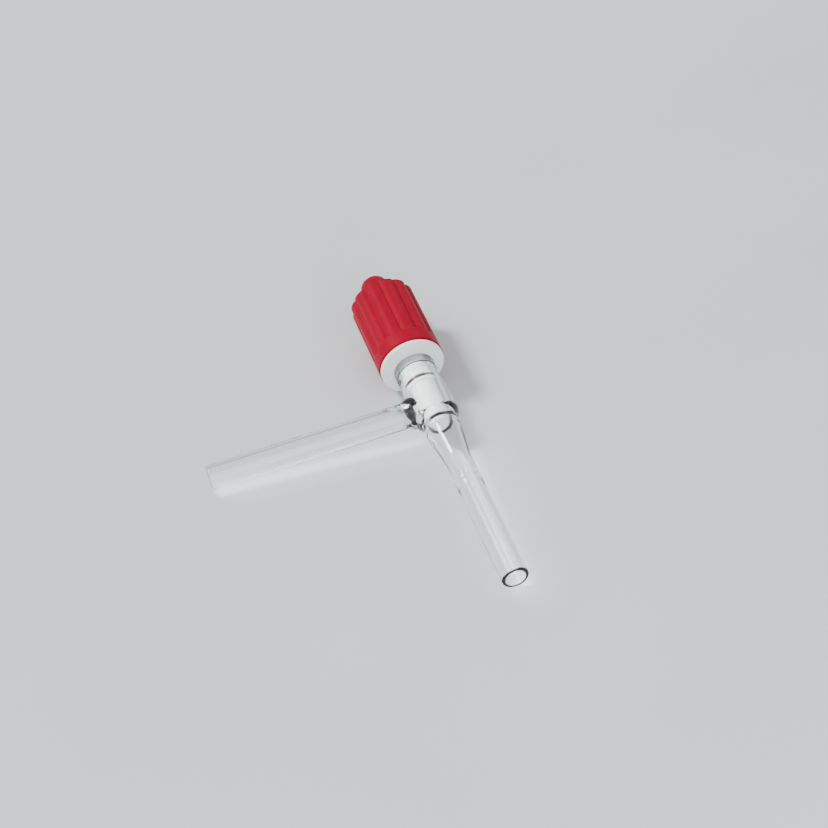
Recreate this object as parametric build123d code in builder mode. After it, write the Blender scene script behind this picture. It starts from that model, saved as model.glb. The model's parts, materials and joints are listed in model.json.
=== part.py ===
"""Right-angle glass stopcock with a screw-down PTFE key, lying on a flat surface."""

import os
from math import asin, atan2, cos, hypot, sin

from build123d import *

# Driving dimensions, in millimetres. A name that ends in _at is a place on the main axis,
# measured from the side arm's axis: positive towards the open end of the straight arm,
# negative towards the knob.

# Arms
arm_bore_radius = 4.5
arm_wall = 1.5
arm_reach = 105.0  # of both arms, from the point where their axes cross
lip_round = 0.7  # fire-polished outer edge of an arm's mouth
weld_flare = 1.4  # by which the side arm's root is wider than the arm
weld_length = 3.4
weld_round = 3.0
port_radius = 4.0  # hole blown through the barrel's wall into the side arm
port_flare_start = 8.0
port_flare_end = 9.2

# Neck, barrel, seat and taper of the glass
key_bore_radius = 6.5
neck_wall = 2.8
neck_round = 1.0
bead_at = -23.8
bead_width = 5.2
bead_height = 0.35
bead_round = 0.3
barrel_wall = 4.0
barrel_end_wall = 3.8
swell_start_at = -17.0
swell_end_at = -8.5
swell_round = 8.0
barrel_end_at = 7.0
barrel_end_round = 2.4
throat_radius = 5.0
seat_at = 10.0  # narrowest place, where the key closes the way
seat_wall = 2.8
seat_length = 4.6  # bore's cone above the throat
seat_start_round = 2.0
seat_round = 0.8
bulb_bore_radius = 6.3
bulb_wall = 2.0
bulb_start_at = 12.4
bulb_start_round = 2.0
bulb_end_at = 16.5
bulb_end_round = 8.0
taper_end_at = 34.0
taper_round = 11.0

# Collar, screwed on the neck
collar_length = 29.0
end_wall = 2.5
neck_clearance = 0.15
neck_gap = 4.2  # between the neck's top and the collar's end wall
hub_wall = 2.95
hub_round = 1.0
flange_step = 2.05  # by which the flange stands out from the hub
flange_length = 7.0
face_width = 1.95
face_chamfer = 2.0
brim_inset = 0.4  # by which the brim is narrower than the knob that closes on it
brim_gap = 0.4
mouth_clearance = 0.3
mouth_depth = 1.0
edge_round = 0.5
fine_round = 0.3

# Key
key_travel = 10.0
travel_gap = 1.2  # left above the land when the key is drawn right up
key_clearance = 0.1
shank_clearance = 0.5
nose_step = 1.2  # by which the nose is narrower than the throat
nose_past_seat = 2.4
nose_round = 1.4
seat_gap = 0.15
seal_at = -13.6
seal_land = 3.0  # from the seal's middle to the land's end
seal_section_radius = 1.0
seal_clearance = 0.05
groove_clearance = 0.05
tail_radius = 4.0
tail_across_flats = 6.0
guide_clearance = 0.12
tail_neck_radius = 3.0
tail_neck_clearance = 0.06
tail_end = 2.0  # beyond the clip
key_round = 0.6

# Clip on the key's tail
clip_groove_depth = 0.5
clip_width = 2.5
clip_thickness = 1.0
clip_gap = 3.4
clip_clearance = 0.1

# Knob
knob_showing = 4.2  # of the collar, beyond the knob's rim
knob_band = 7.4  # plain band at the rim
skirt_clearance = 0.3
skirt_wall = 0.85
lobe_count = 12
lobe_start = 16.5  # degrees round the main axis from the side arm
lobe_radius = 4.7
lobe_depth = 1.2
flute_runout = 1.8
rim_round = 0.5
crown_round = 2.0  # of the lobes' far ends, by a turned edge a little wider than the lobes
crown_margin = 0.4
thread_depth = 0.65
thread_clearance = 0.1
web_thickness = 3.2
web_clearance = 0.8
shoulder_clearance = 0.2
cavity_round = 1.0
chamber_radius = 9.0
chamber_depth = 12.6  # beyond the key's tail

# Cap in the knob's far end
cap_clearance = 0.05
cap_plate = 2.4
cap_plug = 6.5
cap_wall = 1.6
cap_round = 0.8
boss_height = 15.3
boss_base_radius = 7.8
boss_top_radius = 6.3
boss_round = 4.0

# Radii that follow from the sizes above
arm_radius = arm_bore_radius + arm_wall
weld_radius = arm_radius + weld_flare
neck_radius = key_bore_radius + neck_wall
bead_radius = neck_radius + bead_height
barrel_radius = key_bore_radius + barrel_wall
barrel_end_radius = key_bore_radius + barrel_end_wall
seat_outer_radius = throat_radius + seat_wall
bulb_radius = bulb_bore_radius + bulb_wall
collar_bore_radius = neck_radius + neck_clearance
mouth_radius = bead_radius + mouth_clearance
collar_face_radius = mouth_radius + face_width
hub_radius = collar_bore_radius + hub_wall
flange_radius = hub_radius + flange_step
land_radius = key_bore_radius - key_clearance
shank_radius = key_bore_radius - shank_clearance
nose_radius = throat_radius - nose_step
seal_ring_radius = key_bore_radius - seal_clearance - seal_section_radius
groove_radius = seal_ring_radius - seal_section_radius - groove_clearance
groove_half_width = seal_section_radius + groove_clearance
clip_groove_radius = tail_neck_radius - clip_groove_depth
clip_radius = clip_groove_radius + clip_width
thread_bore_radius = hub_radius + thread_depth + thread_clearance
skirt_bore_radius = flange_radius + skirt_clearance
knob_radius = skirt_bore_radius + skirt_wall
valley_radius = knob_radius - lobe_depth
lobe_centre_radius = knob_radius - lobe_radius
brim_radius = knob_radius - brim_inset

# Places that follow from the sizes above
collar_face_at = bead_at - bead_width / 2 + mouth_depth - mouth_clearance
flange_back_at = collar_face_at - flange_length
collar_top_at = collar_face_at - collar_length
neck_top_at = collar_top_at + end_wall + neck_gap
land_top_at = collar_top_at + end_wall + key_travel + travel_gap
land_end_at = seal_at + seal_land
nose_at = seat_at + nose_past_seat
seat_start_at = seat_at - seat_length
seat_slope = (key_bore_radius - throat_radius) / seat_length
nose_cone_radius = throat_radius - seat_gap * hypot(1, seat_slope)
nose_cone_start_at = seat_at - (shank_radius - nose_cone_radius) / seat_slope
rim_at = collar_face_at - knob_showing
brim_back_at = rim_at + brim_gap
cavity_top_at = collar_top_at - web_clearance
tail_shoulder_at = cavity_top_at + shoulder_clearance
web_top_at = cavity_top_at - web_thickness
clip_base_at = web_top_at - clip_clearance
clip_top_at = clip_base_at - clip_thickness
tail_top_at = clip_top_at - clip_clearance - tail_end
knob_top_at = tail_top_at - chamber_depth
boss_top_at = knob_top_at - boss_height

# The stopcock rests on three places: the knob's rim and the mouths of the two arms.
# dip is the angle of the main axis, and lean that of the side arm, below the horizontal.
knob_foot = knob_radius - rim_round
lip_foot = arm_radius - lip_round
foot_span = arm_reach - lip_round - (rim_at - rim_round)
foot_drop = knob_foot - lip_foot
round_drop = rim_round - lip_round
dip = atan2(foot_drop, foot_span) + asin(round_drop / hypot(foot_span, foot_drop))
axis_height = (arm_reach - lip_round) * sin(dip) + lip_foot * cos(dip) + lip_round
side_span = arm_reach - lip_round
lean = asin((axis_height - lip_round) / hypot(side_span, lip_foot)) - atan2(lip_foot, side_span)
roll = asin(sin(lean) / cos(dip))

along = Vector(cos(dip), 0, -sin(dip))  # main axis, towards the straight arm's mouth
across = Vector(-sin(roll) * sin(dip), -cos(roll), -sin(roll) * cos(dip))  # side arm's axis
above = across.cross(along)

# The origin lies on the surface, under the middle of the whole object.
x_high = arm_reach * cos(dip) + lip_foot * sin(dip)
x_low = boss_top_at * cos(dip) - (boss_top_radius - boss_round) * sin(dip)
y_low = -arm_reach * cos(roll) - lip_foot * sin(roll)
y_high = knob_radius
crossing = Vector(-(x_high + x_low) / 2, -(y_high + y_low) / 2, axis_height)

section = Plane(crossing, x_dir=along, z_dir=-above)  # x along the main axis, y across
cross_section = Plane(crossing, x_dir=across, z_dir=along)
side_section = Plane(crossing, x_dir=across, z_dir=above)
main_axis = Axis(crossing, along)
side_axis = Axis(crossing, across)


def half_section(*corners):
    """Face between the axis and a line through corners of (place, radius, rounding)."""
    points = [(place, radius) for place, radius, rounding in corners]
    with BuildLine() as outline:
        Polyline((points[0][0], 0), *points, (points[-1][0], 0), close=True)
    make_face(outline.edges())
    for place, radius, rounding in corners:
        if rounding:
            fillet(vertices().sort_by_distance((place, radius))[0], rounding)


def two_flats(clearance):
    """Section of the key's tail, a circle with two flats, grown by a clearance."""
    Circle(tail_radius + clearance)
    Rectangle(
        3 * tail_radius,
        tail_across_flats + 2 * clearance,
        mode=Mode.INTERSECT,
    )


# Glass body: one blown piece
with BuildPart() as glass_body:
    with BuildSketch(section):
        half_section(
            (neck_top_at, neck_radius, neck_round),
            (bead_at - bead_width / 2, neck_radius, 0),
            (bead_at - bead_width / 2, bead_radius, bead_round),
            (bead_at + bead_width / 2, bead_radius, bead_round),
            (bead_at + bead_width / 2, neck_radius, 0),
            (swell_start_at, neck_radius, swell_round),
            (swell_end_at, barrel_radius, swell_round),
            (barrel_end_at, barrel_end_radius, barrel_end_round),
            (seat_at, seat_outer_radius, seat_round),
            (bulb_start_at, bulb_radius, bulb_start_round),
            (bulb_end_at, bulb_radius, bulb_end_round),
            (taper_end_at, arm_radius, taper_round),
            (arm_reach, arm_radius, lip_round),
        )
    revolve(axis=main_axis)
    with BuildSketch(side_section):
        half_section(
            (0, weld_radius, 0),
            (barrel_radius, weld_radius, 0),
            (barrel_radius + weld_length, arm_radius, weld_round),
            (arm_reach, arm_radius, lip_round),
        )
    revolve(axis=side_axis)
    with BuildSketch(section):
        half_section(
            (neck_top_at, key_bore_radius, 0),
            (seat_start_at, key_bore_radius, seat_start_round),
            (seat_at, throat_radius, seat_round),
            (bulb_start_at, bulb_bore_radius, bulb_start_round),
            (bulb_end_at, bulb_bore_radius, bulb_end_round),
            (taper_end_at, arm_bore_radius, taper_round),
            (arm_reach, arm_bore_radius, 0),
        )
    revolve(axis=main_axis, mode=Mode.SUBTRACT)
    with BuildSketch(side_section):
        half_section(
            (0, port_radius, 0),
            (port_flare_start, port_radius, 0),
            (port_flare_end, arm_bore_radius, 0),
            (arm_reach, arm_bore_radius, 0),
        )
    revolve(axis=side_axis, mode=Mode.SUBTRACT)

# Collar, screwed up the neck until it meets the bead
with BuildPart() as collar:
    with BuildSketch(section):
        half_section(
            (collar_face_at, collar_face_radius, edge_round),
            (collar_face_at - face_chamfer, brim_radius, edge_round),
            (brim_back_at, brim_radius, fine_round),
            (brim_back_at, flange_radius, 0),
            (flange_back_at, flange_radius, fine_round),
            (flange_back_at, hub_radius, 0),
            (collar_top_at, hub_radius, hub_round),
        )
    revolve(axis=main_axis)
    with BuildSketch(section):
        half_section(
            (collar_face_at, mouth_radius, 0),
            (collar_face_at - mouth_depth, mouth_radius, 0),
            (collar_face_at - mouth_depth, collar_bore_radius, 0),
            (collar_top_at + end_wall, collar_bore_radius, 0),
        )
    revolve(axis=main_axis, mode=Mode.SUBTRACT)
    with BuildSketch(cross_section.offset(collar_top_at)):
        two_flats(guide_clearance)
    extrude(amount=end_wall, mode=Mode.SUBTRACT)

# Key: slides without turning, because its flats pass through the collar's end wall
with BuildPart() as key:
    with BuildSketch(section):
        half_section(
            (nose_at, nose_radius, nose_round),
            (seat_at, nose_cone_radius, seat_round),
            (nose_cone_start_at, shank_radius, 0),
            (land_end_at, shank_radius, 0),
            (land_end_at, land_radius, fine_round),
            (seal_at + groove_half_width, land_radius, 0),
            (seal_at + groove_half_width, groove_radius, 0),
            (seal_at - groove_half_width, groove_radius, 0),
            (seal_at - groove_half_width, land_radius, 0),
            (land_top_at, land_radius, key_round),
        )
    revolve(axis=main_axis)
    with BuildSketch(cross_section.offset(tail_shoulder_at)):
        two_flats(0)
    extrude(amount=land_top_at - tail_shoulder_at)
    with BuildSketch(section):
        half_section(
            (tail_shoulder_at, tail_neck_radius, 0),
            (clip_base_at, tail_neck_radius, 0),
            (clip_base_at, clip_groove_radius, 0),
            (clip_top_at - clip_clearance, clip_groove_radius, 0),
            (clip_top_at - clip_clearance, tail_neck_radius, 0),
            (tail_top_at, tail_neck_radius, key_round),
        )
    revolve(axis=main_axis)

# Seal: a ring in the key's groove
with BuildPart() as key_seal:
    with BuildSketch(section):
        with Locations((seal_at, seal_ring_radius)):
            Circle(seal_section_radius)
    revolve(axis=main_axis)

# Clip: holds the key's tail above the knob's web
with BuildPart() as tail_clip:
    with BuildSketch(cross_section.offset(clip_top_at + clip_clearance / 2)):
        Circle(clip_radius)
        Circle(clip_groove_radius + groove_clearance, mode=Mode.SUBTRACT)
        with Locations((clip_radius, 0)):
            Rectangle(2 * clip_radius, clip_gap, mode=Mode.SUBTRACT)
    extrude(amount=clip_thickness - clip_clearance)

# Knob: twelve rounded lobes above a plain band
with BuildPart() as knob:
    with BuildSketch(cross_section.offset(knob_top_at)):
        Circle(valley_radius)
        with PolarLocations(lobe_centre_radius, lobe_count, start_angle=lobe_start):
            Circle(lobe_radius)
    extrude(amount=rim_at - knob_band - knob_top_at)
    with BuildSketch(section):
        half_section(
            (rim_at, knob_radius + crown_margin, 0),
            (knob_top_at, knob_radius + crown_margin, crown_round),
        )
    revolve(axis=main_axis, mode=Mode.INTERSECT)
    with BuildSketch(section):
        half_section(
            (rim_at, knob_radius, rim_round),
            (rim_at - knob_band, knob_radius, 0),
            (rim_at - knob_band - flute_runout, valley_radius, 0),
        )
    revolve(axis=main_axis)
    with BuildSketch(section):
        half_section(
            (rim_at, skirt_bore_radius, 0),
            (flange_back_at - skirt_clearance, skirt_bore_radius, 0),
            (flange_back_at - skirt_clearance, thread_bore_radius, 0),
            (cavity_top_at, thread_bore_radius, cavity_round),
            (cavity_top_at, tail_neck_radius + tail_neck_clearance, 0),
            (web_top_at, tail_neck_radius + tail_neck_clearance, 0),
            (web_top_at, chamber_radius, 0),
            (knob_top_at, chamber_radius, 0),
        )
    revolve(axis=main_axis, mode=Mode.SUBTRACT)

# Cap: a hollow plug pressed into the knob's far end, with a rounded boss
with BuildPart() as knob_cap:
    with BuildSketch(section):
        half_section(
            (knob_top_at + cap_plug, chamber_radius - cap_clearance, edge_round),
            (knob_top_at, chamber_radius - cap_clearance, fine_round),
            (knob_top_at, boss_base_radius, 0),
            (boss_top_at, boss_top_radius, boss_round),
        )
    revolve(axis=main_axis)
    with BuildSketch(section):
        half_section(
            (knob_top_at + cap_plug, chamber_radius - cap_clearance - cap_wall, 0),
            (knob_top_at + cap_plate, chamber_radius - cap_clearance - cap_wall, cap_round),
        )
    revolve(axis=main_axis, mode=Mode.SUBTRACT)

glass_body.part.label = "glass_body"
collar.part.label = "collar"
key.part.label = "key"
key_seal.part.label = "key_seal"
tail_clip.part.label = "tail_clip"
knob.part.label = "knob"
knob_cap.part.label = "knob_cap"

os.makedirs("parts", exist_ok=True)
for piece in (glass_body, collar, key, key_seal, tail_clip, knob, knob_cap):
    export_step(piece.part, f"parts/{piece.part.label}.step")
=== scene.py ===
"""Looks of the right-angle glass stopcock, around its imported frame. Lengths are in metres."""

import json
from math import exp, pi, radians

import bmesh
import bpy
from mathutils import Matrix, Vector


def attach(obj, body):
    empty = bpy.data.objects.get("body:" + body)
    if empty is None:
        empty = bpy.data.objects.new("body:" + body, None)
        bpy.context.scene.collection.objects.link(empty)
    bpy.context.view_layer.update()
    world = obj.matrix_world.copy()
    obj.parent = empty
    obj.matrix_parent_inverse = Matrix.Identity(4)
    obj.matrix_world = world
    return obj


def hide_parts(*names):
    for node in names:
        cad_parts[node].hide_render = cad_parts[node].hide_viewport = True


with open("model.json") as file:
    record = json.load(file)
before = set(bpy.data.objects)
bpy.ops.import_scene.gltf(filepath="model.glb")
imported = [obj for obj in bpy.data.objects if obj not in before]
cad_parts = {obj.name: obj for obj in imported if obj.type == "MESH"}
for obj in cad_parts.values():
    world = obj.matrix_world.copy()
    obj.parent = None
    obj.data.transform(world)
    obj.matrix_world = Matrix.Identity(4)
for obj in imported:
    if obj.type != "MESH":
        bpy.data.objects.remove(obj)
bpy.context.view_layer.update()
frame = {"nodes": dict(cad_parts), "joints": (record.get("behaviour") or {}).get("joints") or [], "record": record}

MM = 0.001
SAME_POINT = 0.000002  # points nearer than this are welded into one
ON_PLANE = 0.0000001  # points nearer than this to a cut lie on it
SHARP_EDGE = radians(32)  # edges that turn by more than this aren't smoothed

# The stopcock's own axes, from the joint that its knob turns on and from its side arm
joint = {j["name"]: j for j in frame["joints"]}["knob_turn"]
mount = {m["name"]: m for m in frame["record"]["mounts"]}
crossing = Vector(joint["pos_m"])
along = -Vector(joint["axis"]).normalized()
across = Vector(mount["side_arm_bore"]["axis"]).normalized()
above = across.cross(along)


# Camera, floor and lights


def look_at(thing, place, right, back):
    """Puts a camera at a place, with its right-hand side and its back in given directions."""
    back = back.normalized()
    right = (right - back * right.dot(back)).normalized()
    up = back.cross(right)
    turn = Matrix((right, up, back)).transposed().to_4x4()
    thing.matrix_world = Matrix.Translation(place) @ turn


def add_camera():
    camera = bpy.data.objects.new("camera", bpy.data.cameras.new("camera"))
    bpy.context.scene.collection.objects.link(camera)
    camera.data.sensor_width = 36  # millimetres, as the lens is
    camera.data.lens = 76.7
    camera.data.clip_start = 0.01
    look_at(
        camera,
        crossing + Vector((0.57024, -0.16330, 0.53026)),
        Vector((0.3151, 0.9469, -0.0632)),
        Vector((0.7177, -0.1943, 0.6688)),
    )
    bpy.context.scene.camera = camera


def add_sun(place, strength, softness):
    """Even light from the side that a place is on, with shadows as soft as an angle in degrees."""
    lamp = bpy.data.lights.new("sun", "SUN")
    lamp.energy = strength
    lamp.angle = radians(softness)
    light = bpy.data.objects.new("sun", lamp)
    bpy.context.scene.collection.objects.link(light)
    light.rotation_euler = Vector(place).to_track_quat("Z", "Y").to_euler()


def add_light(name, place, size, watts, colour=(1, 1, 1)):
    lamp = bpy.data.lights.new(name, "AREA")
    lamp.shape = "RECTANGLE"
    lamp.size, lamp.size_y = size
    lamp.energy = watts
    lamp.color = colour
    light = bpy.data.objects.new(name, lamp)
    bpy.context.scene.collection.objects.link(light)
    light.location = place
    light.rotation_euler = (crossing - Vector(place)).to_track_quat("-Z", "Y").to_euler()


# Materials


class Value:
    """A socket with numbers in it, on which arithmetic adds Math nodes."""

    def __init__(self, finish, socket):
        self.finish, self.socket = finish, socket

    def maths(self, operation, *others):
        inputs = [self.socket, *(o.socket if isinstance(o, Value) else o for o in others)]
        made = self.finish.node("Math", {"operation": operation}, dict(enumerate(inputs)))
        return Value(self.finish, made.outputs[0])

    def __add__(self, other):
        return self.maths("ADD", other)

    __radd__ = __add__

    def __mul__(self, other):
        return self.maths("MULTIPLY", other)

    def __truediv__(self, other):
        return self.maths("DIVIDE", other)

    def clamped(self):
        return self.maths("MAXIMUM", 0.0).maths("MINIMUM", 1.0)


class Finish:
    """A material under construction."""

    def __init__(self, name, **settings):
        self.material = bpy.data.materials.new(name)
        self.material.use_nodes = True
        self.tree = self.material.node_tree
        self.shader = self.tree.nodes["Principled BSDF"]
        for socket, value in settings.items():
            self.shader.inputs[socket.replace("_", " ")].default_value = value
        self.place = self.node("TexCoord").outputs["Object"]

    def node(self, kind, settings=None, inputs=None):
        """A node of a type, with its settings, and with values or links for its sockets."""
        made = self.tree.nodes.new("ShaderNode" + kind)
        for name, value in (settings or {}).items():
            setattr(made, name, value)
        for name, value in (inputs or {}).items():
            if isinstance(value, Value):
                value = value.socket
            if isinstance(value, bpy.types.NodeSocket):
                self.tree.links.new(value, made.inputs[name])
            else:
                made.inputs[name].default_value = value
        return made

    def dot(self, point, direction):
        """How far a place on the piece lies from a point, along a direction, in millimetres."""
        offset = self.node("VectorMath", {"operation": "SUBTRACT"}, {0: self.place, 1: point})
        made = self.node(
            "VectorMath", {"operation": "DOT_PRODUCT"}, {0: offset.outputs[0], 1: direction}
        )
        return Value(self, made.outputs["Value"]) / MM

    def stretched(self, scale):
        """Places in the stopcock's own axes, stretched by a scale along each of them."""
        parts = [self.dot(crossing, way) * share for way, share in zip((along, across, above), scale)]
        made = self.node("CombineXYZ", None, {"X": parts[0], "Y": parts[1], "Z": parts[2]})
        return made.outputs[0]

    def noise(self, scale, detail=3.0, stretch=(1, 1, 1)):
        """Cloudy numbers about 0.5, with features of 1/scale millimetres."""
        made = self.node(
            "TexNoise",
            None,
            {"Vector": self.stretched(stretch), "Scale": scale, "Detail": detail},
        )
        return Value(self, made.outputs["Fac"])

    def mixed(self, share, low, high):
        """A colour between two, by a share."""
        made = self.node("Mix", {"data_type": "RGBA"}, {0: share, 6: low, 7: high})
        return made.outputs[2]

    def set(self, **links):
        for name, value in links.items():
            socket = value.socket if isinstance(value, Value) else value
            self.tree.links.new(socket, self.shader.inputs[name.replace("_", " ")])

    def bump(self, height, depth):
        """Relief from a height of 0 to 1, as deep as a depth in metres."""
        made = self.node("Bump", None, {"Height": height, "Distance": depth, "Strength": 1.0})
        self.tree.links.new(made.outputs[0], self.shader.inputs["Normal"])

    def lets_light_through(self, tint):
        """Lamps shine through the piece, tinted, where a solid would cast a black shadow."""
        path = self.node("LightPath")
        clear = self.node("BsdfTransparent", None, {"Color": tint})
        mix = self.node(
            "MixShader",
            None,
            {0: path.outputs["Is Shadow Ray"], 1: self.shader.outputs[0], 2: clear.outputs[0]},
        )
        self.tree.links.new(mix.outputs[0], self.tree.nodes["Material Output"].inputs["Surface"])


def blown_glass():
    """Clear glass, a little uneven along its length where it was drawn."""
    finish = Finish(
        "blown_glass", Transmission_Weight=1.0, IOR=1.474, Roughness=0.0, Specular_IOR_Level=0.5
    )
    drawn = finish.noise(0.16, 2.0, (0.25, 1, 1))
    seams = finish.noise(0.5, 2.0)
    finish.bump(drawn * 0.8 + seams * 0.2, 0.00015)
    finish.set(
        Base_Color=finish.mixed(drawn.clamped(), (0.94, 0.975, 0.97, 1), (0.99, 1.0, 0.995, 1))
    )
    finish.lets_light_through((0.88, 0.92, 0.92, 1))
    return finish.material


def moulded_white():
    """Satin white plastic with a trace of green, a little dulled by handling."""
    finish = Finish("moulded_white", IOR=1.48, Subsurface_Weight=0.06, Subsurface_Scale=0.0015)
    clouds = finish.noise(0.22, 4.0)
    grain = finish.noise(3.0, 2.0)
    finish.set(
        Base_Color=finish.mixed(clouds.clamped(), (0.90, 0.92, 0.89, 1), (0.955, 0.965, 0.94, 1)),
        Roughness=0.30 + clouds * 0.18,
    )
    finish.bump(grain * 0.6 + clouds * 0.4, 0.00003)
    return finish.material


def turned_white():
    """Waxy white fluoropolymer with the fine rings that a lathe leaves."""
    finish = Finish("turned_white", IOR=1.38, Subsurface_Weight=0.15, Subsurface_Scale=0.003)
    clouds = finish.noise(0.15, 3.0)
    tool = (finish.dot(crossing, along) * 14.0).maths("SINE") * 0.5 + 0.5
    finish.set(
        Base_Color=finish.mixed(clouds.clamped(), (0.92, 0.92, 0.91, 1), (0.965, 0.965, 0.96, 1)),
        Roughness=0.34 + clouds * 0.14,
    )
    finish.bump(tool * 0.6 + clouds * 0.4, 0.00002)
    return finish.material


def brown_rubber():
    """Brown fluoroelastomer, a little shiny where it is squeezed."""
    finish = Finish("brown_rubber", IOR=1.5)
    clouds = finish.noise(0.6, 4.0)
    finish.set(
        Base_Color=finish.mixed(clouds.clamped(), (0.020, 0.007, 0.005, 1), (0.050, 0.018, 0.012, 1)),
        Roughness=0.36 + clouds * 0.24,
    )
    finish.bump(clouds, 0.00003)
    return finish.material


def spring_steel():
    """Steel strip with the marks of its rolling."""
    finish = Finish("spring_steel", Metallic=1.0)
    strokes = finish.noise(1.4, 4.0, (0.3, 6, 1))
    finish.set(
        Base_Color=finish.mixed(strokes.clamped(), (0.48, 0.48, 0.49, 1), (0.66, 0.66, 0.67, 1)),
        Roughness=0.22 + strokes * 0.22,
    )
    finish.bump(strokes, 0.00001)
    return finish.material


def moulded_red(name, dull):
    """Glossy red plastic, scuffed by fingers, and dulled by a share."""
    finish = Finish(name, IOR=1.49, Specular_IOR_Level=0.06)
    clouds = finish.noise(0.18, 4.0)
    scuffs = finish.noise(1.1, 5.0, (0.35, 1, 1))
    finish.set(
        Base_Color=finish.mixed(clouds.clamped(), (0.27, 0.0, 0.014, 1), (0.36, 0.0, 0.020, 1)),
        Roughness=(0.34 + dull) + scuffs * 0.16,
    )
    finish.bump(scuffs * 0.5 + clouds * 0.5, 0.00004)
    return finish.material


# Pieces


def swell(work, place, width, height):
    """Raises a low ring round the straight arm, where its tube was welded on, in millimetres."""
    mid_wall, arm_and_margin = 5.2 * MM, 8 * MM
    bore_share = -0.6  # how far the ring stands into the bore, for each millimetre outside
    least = 0.001
    for vert in work.verts:
        offset = vert.co - crossing
        reach = offset.dot(along)
        out = offset - along * reach
        near = exp(-(((reach / MM - place) / width) ** 2))
        if near > least and out.length < arm_and_margin:
            share = 1 if out.length > mid_wall else bore_share
            vert.co += out.normalized() * height * share * near * MM


def finished(node, material, body, cuts=(), welds=()):
    """A welded, smooth-shaded piece in a CAD node's shape and place, which stands for it.

    Its long faces are cut across at places in millimetres along a direction, so that the shading
    of an edge at one end doesn't run the whole length.
    """
    mesh = frame["nodes"][node].data.copy()
    stored = mesh.attributes.get("custom_normal")
    if stored:
        mesh.attributes.remove(stored)
    work = bmesh.new()
    work.from_mesh(mesh)
    bmesh.ops.remove_doubles(work, verts=work.verts, dist=SAME_POINT)
    for direction, places in cuts:
        for place in places:
            bmesh.ops.bisect_plane(
                work,
                geom=[*work.verts, *work.edges, *work.faces],
                plane_co=crossing + direction * place * MM,
                plane_no=direction,
                dist=ON_PLANE,
            )
    for weld in welds:
        swell(work, *weld)
    work.to_mesh(mesh)
    work.free()
    mesh.shade_smooth()
    mesh.set_sharp_from_angle(angle=SHARP_EDGE)
    mesh.materials.clear()
    mesh.materials.append(material)
    piece = bpy.data.objects.new(node + "_finished", mesh)
    bpy.context.scene.collection.objects.link(piece)
    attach(piece, body)
    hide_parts(node)


def collar_thread(material):
    """The thread that the knob runs on: one ridge wound round the collar's hub."""
    root, crest = 12.3 * MM, 13.05 * MM
    pitch, start, end = 4.0 * MM, -35.4 * MM, -53.2 * MM
    foot, land = 1.15 * MM, 0.45 * MM
    steps_per_turn = 72
    turns = (start - end) / pitch
    steps = round(turns * steps_per_turn)
    work = bmesh.new()
    corners = ((root, -foot), (crest, -land), (crest, land), (root, foot))
    profile = work.faces.new([work.verts.new((radius, 0, place)) for radius, place in corners])
    bmesh.ops.spin(
        work,
        geom=[profile, *profile.edges, *profile.verts],
        cent=(0, 0, 0),
        axis=(0, 0, 1),
        dvec=(0, 0, -(start - end) / steps),
        angle=turns * 2 * pi,
        steps=steps,
        use_merge=False,
        use_duplicate=False,
    )
    bmesh.ops.remove_doubles(work, verts=work.verts, dist=SAME_POINT)
    bmesh.ops.holes_fill(work, edges=[e for e in work.edges if e.is_boundary], sides=4)
    bmesh.ops.recalc_face_normals(work, faces=work.faces)
    turn = Matrix((across, along.cross(across), along)).transposed()
    place = Matrix.Translation(crossing + along * start) @ turn.to_4x4()
    bmesh.ops.transform(work, matrix=place, verts=work.verts)
    mesh = bpy.data.meshes.new("collar_thread")
    work.to_mesh(mesh)
    work.free()
    mesh.shade_smooth()
    mesh.set_sharp_from_angle(angle=SHARP_EDGE)
    mesh.materials.append(material)
    piece = bpy.data.objects.new("collar_thread", mesh)
    bpy.context.scene.collection.objects.link(piece)
    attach(piece, "glass")


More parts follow.
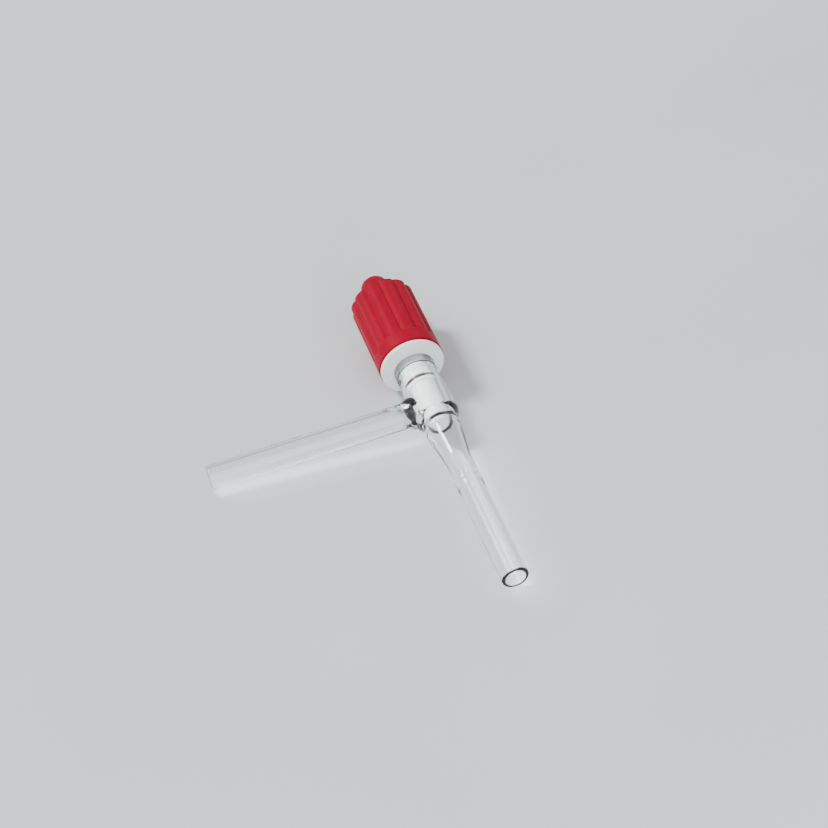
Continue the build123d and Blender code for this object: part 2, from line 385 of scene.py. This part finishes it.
def pale_floor():
    finish = Finish("pale_floor", Roughness=0.55)
    clouds = finish.noise(0.01, 2.0)
    finish.set(
        Base_Color=finish.mixed(clouds.clamped(), (0.60, 0.61, 0.63, 1), (0.66, 0.67, 0.69, 1))
    )
    half_width = 3.0
    work = bmesh.new()
    bmesh.ops.create_grid(work, x_segments=1, y_segments=1, size=half_width)
    mesh = bpy.data.meshes.new("floor")
    work.to_mesh(mesh)
    work.free()
    mesh.materials.append(finish.material)
    floor = bpy.data.objects.new("floor", mesh)
    bpy.context.scene.collection.objects.link(floor)


def soft_room():
    world = bpy.data.worlds.new("room")
    bpy.context.scene.world = world
    world.use_nodes = True
    world.node_tree.nodes["Background"].inputs["Color"].default_value = (0.60, 0.62, 0.66, 1)
    world.node_tree.nodes["Background"].inputs["Strength"].default_value = 1.0


add_camera()
soft_room()
pale_floor()
add_light("window", (-0.45, -0.65, 0.80), (0.5, 0.4), 4)
add_sun((-0.45, -0.65, 0.90), 2.9, 14)
add_light("fill", (0.85, 0.15, 0.40), (0.7, 0.7), 6.0, (0.97, 0.98, 1.0))
add_light("rim", (-0.85, 0.45, 0.40), (0.4, 0.3), 1.2)

white = moulded_white()
# Places along each axis, in millimetres, where long faces are cut across
arm_cuts = (22, 36, 38, 60, 80, 100, 103, 103.8, 104.15)
weld_cuts = [43 + 0.5 * step for step in range(23)]
glass_cuts = ((along, (-47, -46, -40, -30, *arm_cuts, *weld_cuts)), (across, arm_cuts))
welds = ((47.4, 1.5, 0.22), (50.6, 1.2, 0.13))  # place, width and height of each ring
finished("glass_body", blown_glass(), "glass", glass_cuts, welds)
finished("collar", white, "glass")
key_cuts = ((along, (6, 5.5, 0, -8, -10, -11, -20, -30, -40)),)
finished("key", turned_white(), "key", key_cuts)
finished("key_seal", brown_rubber(), "key")
finished("tail_clip", spring_steel(), "key")
knob_cuts = ((along, (-30.5, -31, -37, -40, -42, -50, -60, -70, -72)),)
finished("knob", moulded_red("knob_red", 0.0), "knob", knob_cuts)
finished("knob_cap", moulded_red("cap_red", 0.03), "knob")
collar_thread(white)
